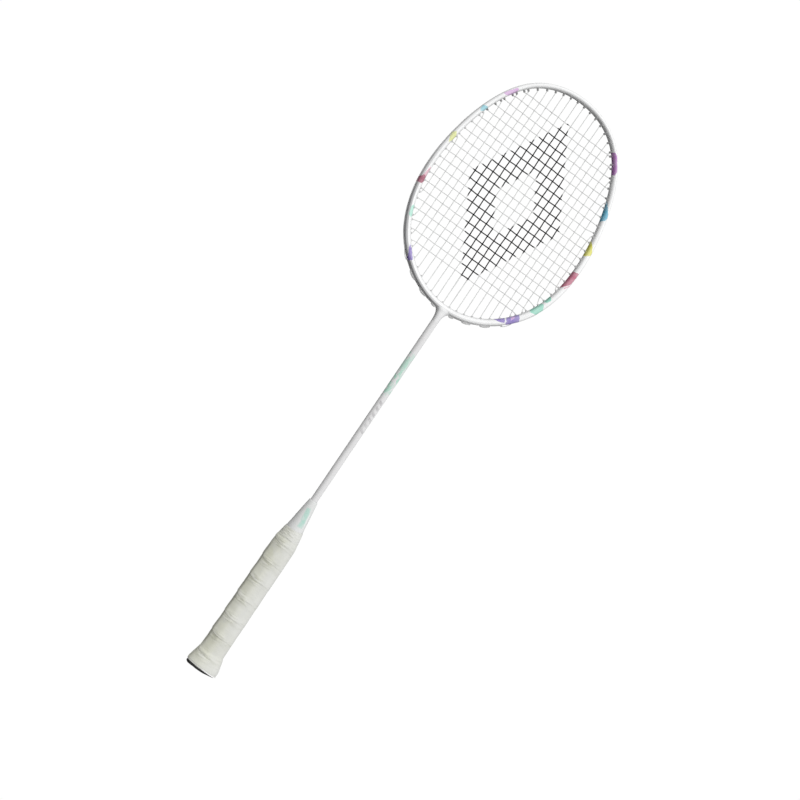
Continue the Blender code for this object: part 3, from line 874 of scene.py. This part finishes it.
def settle(route):
    """The route as the taut string takes it: eased over each crossing, rounded at each bend."""
    path = []
    for k, (point, woven) in enumerate(route):
        if woven or k in (0, len(route) - 1):
            path.append(point)
        else:
            before, after = route[k - 1][0] - point, route[k + 1][0] - point
            reach_b, reach_a = np.linalg.norm(before), np.linalg.norm(after)
            start = point + before / reach_b * min(BEND_RADIUS, reach_b / 3)
            end = point + after / reach_a * min(BEND_RADIUS, reach_a / 3)
            path += [start, 0.25 * start + 0.5 * point + 0.25 * end, end]
        if k < len(route) - 1 and woven and route[k + 1][1]:
            other = route[k + 1][0]
            for step in range(1, WEAVE_STEPS):
                t = step / WEAVE_STEPS
                between = point + (other - point) * t
                between[2] = point[2] * math.cos(math.pi * t)
                path.append(between)
    return path


def make_strings():
    """Both strings, round and woven; the stencil ink lies thick on them."""
    profile = circle(STRING_RADIUS, STRING_SIDES)
    for name, route in (("main_string", main_route()), ("cross_string", cross_route())):
        path = np.array(settle(route))
        reach = np.abs(path[:, 0]) / STENCIL_WIDE + np.abs(path[:, 1] - STENCIL_MIDDLE) / STENCIL_LONG
        sizes = np.where((reach > STENCIL_HOLE) & (reach < 1.0), INK_SWELL, 1.0)
        faces = ring_faces(len(path), STRING_SIDES, False)
        piece(name + "_woven", sweep(path, profile, sizes), faces, string_look(name), name)


# ---------------------------------------------------------------- frame and grommets

def rim_profile():
    """Section of the rim (outwards, up): rounded corners, with extra points for the groove."""
    points = [(RIM_EDGE, z) for z in GROOVE_LEVELS]
    corners = RIM_CORNERS
    for k in (*range(1, len(corners)), 0):
        before, corner, after = corners[k - 1], corners[k], corners[(k + 1) % len(corners)]
        start = corner + (before - corner) / np.linalg.norm(before - corner) * RIM_ROUNDING
        end = corner + (after - corner) / np.linalg.norm(after - corner) * RIM_ROUNDING
        for t in (0.0, 0.25, 0.5, 0.75, 1.0):
            points.append(tuple((1 - t) ** 2 * start + 2 * t * (1 - t) * corner + t * t * end))
    return np.array(points)


def make_frame():
    """The head frame with its groove, and the neck that flows into the shaft."""
    profile = rim_profile()
    out, up = profile.T
    t = np.clip((GROOVE_LEVELS[-1] - np.abs(up)) / GROOVE_SLOPE, 0.0, 1.0) * (out > 3.0)
    groove = t * t * (3 - 2 * t)
    rows = []
    for angle in np.arange(RIM_STEPS) / RIM_STEPS * TURN:
        inside = eased(RIM_WIDTHS[:, ::2], from_top(angle))
        wide = out * np.where(out > 0, outer_edge(angle) / RIM_EDGE, inside)
        sunk = wide - (wide - groove_floor(angle)) * groove
        spots = np.array([rim(angle, s) for s in sunk])
        rows.append(np.column_stack([spots, up]))
    paint = frame_paint()
    piece("head_frame_shell", np.concatenate(rows), ring_faces(RIM_STEPS, len(profile), True), paint,
          "head_frame")
    stretch = [(1.0, depth / width) for _, width, depth in NECK_RINGS]
    neck = spun("throat_neck", [ring[:2] for ring in NECK_RINGS], SHAFT_SIDES, False, paint,
                stretch=stretch)


def make_grommets():
    """Each strip: rounded barrels with a soft lip on a thin web in the groove."""
    # The crown's nylon is a greyer copy of the milky one, as painted shade.
    grey, milky = nylon("crown_nylon_shaded", 0.30), nylon("grommet_nylon", 0.60)
    start = 0
    for name, count in zip(STRIP_NAMES, STRIP_SIZES):
        run = HOLES[start : start + count]
        start += count
        material, rise = (grey, BARREL_RISE) if name in SHADED_PROUD_STRIPS else (milky, BARREL_SHORT)
        if name == "top":
            strips = {"grommets_top": [(-1, h) for h in reversed(run)] + [(1, h) for h in run]}
        else:
            strips = {f"grommets_{name}_left": [(-1, h) for h in run],
                      f"grommets_{name}_right": [(1, h) for h in run]}
        for node, members in strips.items():
            rows, faces = web_rows(members)
            for side, hole in members:
                more = barrel_rows(hole, side, rise)
                faces += ring_faces(len(more) // BARREL_SIDES, BARREL_SIDES, True, len(rows))
                rows = np.concatenate([rows, more])
            piece(node + "_moulded", rows, faces, material, node)


def web_rows(members):
    """The web of a strip along the rim, padded under each loop of the main string."""
    phis = [side * hole["phi_out"] for side, hole in members]
    tail = math.copysign(0.015, phis[-1] - phis[0])
    fine = np.interp(np.linspace(0, len(phis) - 1, (len(phis) - 1) * 6 + 1), range(len(phis)), phis)
    rows = []
    for p in (fine[0] - tail, *fine, fine[-1] + tail):
        foot = groove_floor(p) + WEB_LIFT
        crown = 0.2 + PAD_LIFT * hump(p) ** 0.5 + (LOOP_RISE - 0.1) * hump(p)
        for out, up in ((crown, 1.35), (crown - 0.12, 1.7), (-0.12, 1.7), (-0.2, 1.5),
                        (-0.2, -1.5), (-0.12, -1.7), (crown - 0.12, -1.7), (crown, -1.35)):
            rows.append((*rim(p, foot + out), up))
    return np.array(rows), ring_faces(len(fine) + 2, 8, False)


def barrel_rows(hole, side, rise):
    """Rings of one barrel: bore, rounded inner lip, outside and seat in the web."""
    low, high = on_axis(hole, side, inwards=rise), on_axis(hole, side, outwards=BARREL_SEAT + 0.25)
    reach = np.linalg.norm(high - low)
    axis = (high - low) / reach
    across = np.cross(axis, (0.0, 0.0, 1.0))
    turns = circle(1.0, BARREL_SIDES)
    rows = []
    for along, radius in ((reach, 0.52), (0.1, 0.52), (0.0, 0.62), (0.0, 0.85), (0.12, 1.03),
                          (0.35, 1.1), (reach - 0.1, 1.1), (reach, 1.0)):
        ring = across * turns[:, :1] + np.array((0.0, 0.0, 1.0)) * turns[:, 1:]
        rows.append(low + axis * along + ring * radius)
    return np.concatenate(rows)


# ---------------------------------------------------------------- shaft and handle

def make_shaft():
    """The hollow shaft, rounded at its ends."""
    spun("shaft_tube", SHAFT_RINGS, SHAFT_SIDES, True, shaft_paint(), "shaft")


def make_cone():
    """The cone, rounded at its mouth and hidden under the grip at its foot."""
    spots = np.linspace(CONE_OUTSIDE[0][0], CONE_OUTSIDE[-1][0], CONE_STEPS)
    pairs = [*zip(spots, eased(CONE_OUTSIDE, spots)), *CONE_INSIDE]
    spun("cone_shell", pairs, CONE_SIDES, True, cone_plastic(), "handle_cone")


def facet(turns):
    """How far an eight-sided outline stands out of its inscribed circle, with softened corners."""
    off_flat = (turns + math.pi / 8) % (math.pi / 4) - math.pi / 8
    corner = 1 / np.cos(off_flat) - 1
    return corner * (1 - 0.35 * (corner / CORNER_FULL) ** 2)


def grip_reach(turns, y):
    """Distance from the axis to the outside of the grip, before the wraps are laid on."""
    octagon = FACETS * np.interp(y, GRIP_RINGS[:, 0], GRIP_RINGS[:, 2])
    return eased(GRIP_RINGS[:, :2], y) * (1 + octagon * facet(turns))


def grip_rows(spots, relief):
    """Rings of the grip; relief(turn, y) is added outwards."""
    turns = np.arange(GRIP_SIDES) / GRIP_SIDES * TURN
    rows = []
    for y in spots:
        slant = END_CROWN * np.sin(turns) ** 2 - END_SLANT * np.cos(turns)
        slant *= np.interp(y, (END_LEVEL + 2.0, 11.0), (1.0, 0.0))
        reach = grip_reach(turns, y + slant) + relief(turns, y)
        depth = np.interp(y, (140.0, 158.0), (DEPTH_RATIO, 1.0))
        rows.append(np.stack([reach * np.cos(turns), y + slant, reach * np.sin(turns) * depth], -1))
    return np.concatenate(rows)


def ripple(turns, y):
    """Slow waves of a hand-wound tape."""
    return 0.06 * np.sin(3 * turns + y * 0.11) + 0.04 * np.sin(5 * turns - y * 0.23 + 1.0)


def wound(turns, y):
    """Relief of the spiral: each wrap laps over the one below and sinks away above it."""
    climbed = (y - WRAP_START) / WRAP_PITCH
    wrap = (climbed - turns / TURN - WRAP_SWAY * np.cos(turns)) % 1.0
    edge = np.clip(wrap / 0.022, 0.0, 1.0)
    loose = 0.62 - 0.38 * np.cos(turns)
    lap = WRAP_STEP * edge * edge * (3 - 2 * edge) * (1 - np.clip(wrap / 0.5, 0.0, 1.0) ** 1.5) * loose
    dip = -0.18 * loose * np.exp(-((1.0 - wrap) / 0.05) ** 2)
    near = np.exp(-((wrap - 0.92) / 0.16) ** 2) + 0.6 * np.exp(-((wrap - 0.12) / 0.14) ** 2)
    pinch = np.exp(-((turns - 2.3 - 0.25 * math.sin(y * 0.29)) / 0.5) ** 2)
    folds = 0.24 * near * pinch * np.sin(TURN * wrap * 8 + 4 * turns + math.sin(y * 0.8))
    return lap + dip + folds - 0.30 + ripple(turns, y)


def make_grip():
    """The wound grip: a rounded end at the butt, the spiral, and the lining."""
    ends = END_LEVEL + np.array((0.0, 0.05, 0.25, 0.6, 1.2, 1.7))
    spots = np.concatenate([ends, np.arange(4.3, 157.4, GRIP_SPACING), [157.7, 158.0]])
    rounding = dict(zip((*ends[:5], 157.7, 158.0), (-1.1, -0.6, -0.2, 0.02, 0.05, -0.15, -0.4)))

    def relief(turns, y):
        calm = float(np.clip((y - 3.0) / 3.0, 0.0, 1.0))
        return calm * wound(turns, y) + rounding.get(y, 0.0)

    outer = grip_rows(spots, relief)
    inner_spots = (158.0, 148.0, 20.5, END_LEVEL)
    inner = grip_rows(inner_spots, lambda turns, y: -TAPE_THICK if y < 150 else -0.9)
    rows = np.concatenate([outer, inner])
    faces = ring_faces(len(spots) + len(inner_spots), GRIP_SIDES, True)
    piece("grip_wound", rows, faces, grip_tape(), "grip_tape")


def make_band():
    """The crumpled tape that finishes the top of the grip."""
    middle = ((y, np.interp(y, *zip(*BAND_OUTSIDE))) for y in np.arange(153.0, 162.5, 0.45))
    band = [*BAND_START, *middle, *BAND_END]
    rows = lathe(band, BAND_SIDES).reshape(len(band), BAND_SIDES, 3)
    turns = np.arange(BAND_SIDES) / BAND_SIDES * TURN
    for k, (y, r) in enumerate(band[:-2]):
        pinch = 0.4 + 0.6 * np.exp(-((turns - 2.4) / 0.7) ** 2)
        crumple = pinch * (0.16 * np.sin(1.9 * y + 3 * turns) + 0.10 * np.sin(3.1 * y - 5 * turns + 1.0))
        rows[k] *= np.stack([1 + crumple / r, np.ones(BAND_SIDES), 1 + crumple / r], -1)
        rows[k, :, 1] -= 0.9 * np.sin(turns - 0.6) * np.interp(y, (158.0, 163.0), (0.0, 1.0))
    faces = ring_faces(len(band), BAND_SIDES, True)
    piece("finishing_band", rows.reshape(-1, 3), faces, band_tape(), "finishing_tape")


def make_butt():
    """Rounded black end cap and its plain badge."""
    turns = np.arange(BUTT_SIDES) / BUTT_SIDES * TURN
    corner = 0.6 * facet(turns)
    rows = []
    for y, r in CAP_RINGS:
        reach = r * (1 + (corner if r > 12 else 0.0))
        level = y + END_CROWN * np.sin(turns) ** 2 * np.interp(r, (11.0, 16.0), (0.0, 1.0))
        ring = (reach * np.cos(turns), level, reach * np.sin(turns) * (DEPTH_RATIO if r > 12 else 1.0))
        rows.append(np.stack(ring, -1))
    faces = ring_faces(len(CAP_RINGS), BUTT_SIDES, False)
    piece("butt_cap_moulded", np.concatenate(rows), faces, black_plastic(), "butt_cap")
    spun("badge_disc", BADGE_RINGS, BUTT_SIDES, False, badge_foil(), "butt_badge")


# ---------------------------------------------------------------- surroundings

def make_floor():
    """A pale floor that the butt's flare and the tip of the head rest on."""
    flare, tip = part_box("grip_tape")[0].z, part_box("head_frame")[0].z
    rise = (tip - flare) / (TIP_AT - FLARE_AT)
    corners = [(x * FLOOR_HALF, y * FLOOR_HALF, flare + rise * (y * FLOOR_HALF - FLARE_AT))
               for x, y in ((-1, -1), (1, -1), (1, 1), (-1, 1))]
    mesh = bpy.data.meshes.new("floor")
    mesh.from_pydata(corners, [], [(0, 1, 2, 3)])
    floor = bpy.data.objects.new("floor", mesh)
    bpy.context.collection.objects.link(floor)
    material = bpy.data.materials.new("floor_paper")
    material.use_nodes = True
    tree = material.node_tree
    tree.nodes.clear()
    grain = add_node(tree, "TexNoise", {"Scale": 40.0}).outputs[0]
    shades = {0: grain, 6: (1.0, 1.0, 1.0), 7: (0.985, 0.985, 0.985)}
    tint = add_node(tree, "Mix", shades, data_type="RGBA").outputs[2]
    glow = add_node(tree, "Emission", (tint, 1.02)).outputs[0]
    add_node(tree, "OutputMaterial", (glow,))
    mesh.materials.append(material)
    floor.visible_diffuse = False
    floor.visible_glossy = False


def make_light():
    """A sky that brightens evenly towards the key side and dims a little below the horizon."""
    world = bpy.data.worlds.new("studio")
    bpy.context.scene.world = world
    world.use_nodes = True
    tree = world.node_tree
    tree.nodes.clear()
    way = add_node(tree, "TexCoord").outputs["Generated"]
    facing = add_node(tree, "VectorMath", (way, KEY_FROM), operation="DOT_PRODUCT").outputs["Value"]
    level = add_node(tree, "Math", (facing, SKY_SLOPE, SKY_MEAN), operation="MULTIPLY_ADD").outputs[0]
    level = add_node(tree, "Math", (level, SKY_FLOOR), operation="MAXIMUM").outputs[0]
    level = add_node(tree, "Math", (level, SKY_TOP), operation="MINIMUM").outputs[0]
    height = add_node(tree, "SeparateXYZ", (way,)).outputs[2]
    inputs = (height, -0.25, 0.25, HORIZON_DIM, 1.0)
    dusk = add_node(tree, "MapRange", inputs, interpolation_type="SMOOTHSTEP").outputs[0]
    level = add_node(tree, "Math", (level, dusk), operation="MULTIPLY").outputs[0]
    sky = add_node(tree, "Background", ((1.0, 1.0, 1.0), level)).outputs[0]
    seen = add_node(tree, "Background", ((1.0, 1.0, 1.0),)).outputs[0]
    ray = add_node(tree, "LightPath").outputs["Is Camera Ray"]
    add_node(tree, "OutputWorld", (add_node(tree, "MixShader", (ray, sky, seen)).outputs[0],))


def make_camera():
    """A view from above and a little to the left, with the racket leaning right."""
    lens = bpy.data.cameras.new("camera")
    lens.lens = LENS
    lens.sensor_width = 36.0
    camera = bpy.data.objects.new("camera", lens)
    bpy.context.collection.objects.link(camera)
    back, up = Vector(CAMERA_BACK).normalized(), Vector(CAMERA_UP)
    right = up.cross(back).normalized()
    up = back.cross(right)
    turn = Matrix((right, up, back)).transposed()
    camera.matrix_world = Matrix.Translation(CAMERA_AT) @ turn.to_4x4()
    bpy.context.scene.camera = camera


def repaint(node, material):
    """A CAD node that stays gets its detailed material."""
    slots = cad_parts[node].material_slots
    for slot in slots:
        slot.material = material


bpy.context.scene.view_settings.view_transform = "Standard"
make_camera()
make_light()
make_floor()
make_frame()
make_grommets()
make_strings()
make_shaft()
make_cone()
make_grip()
make_band()
make_butt()
repaint("handle_core", wood())
repaint("t_joint", carbon())
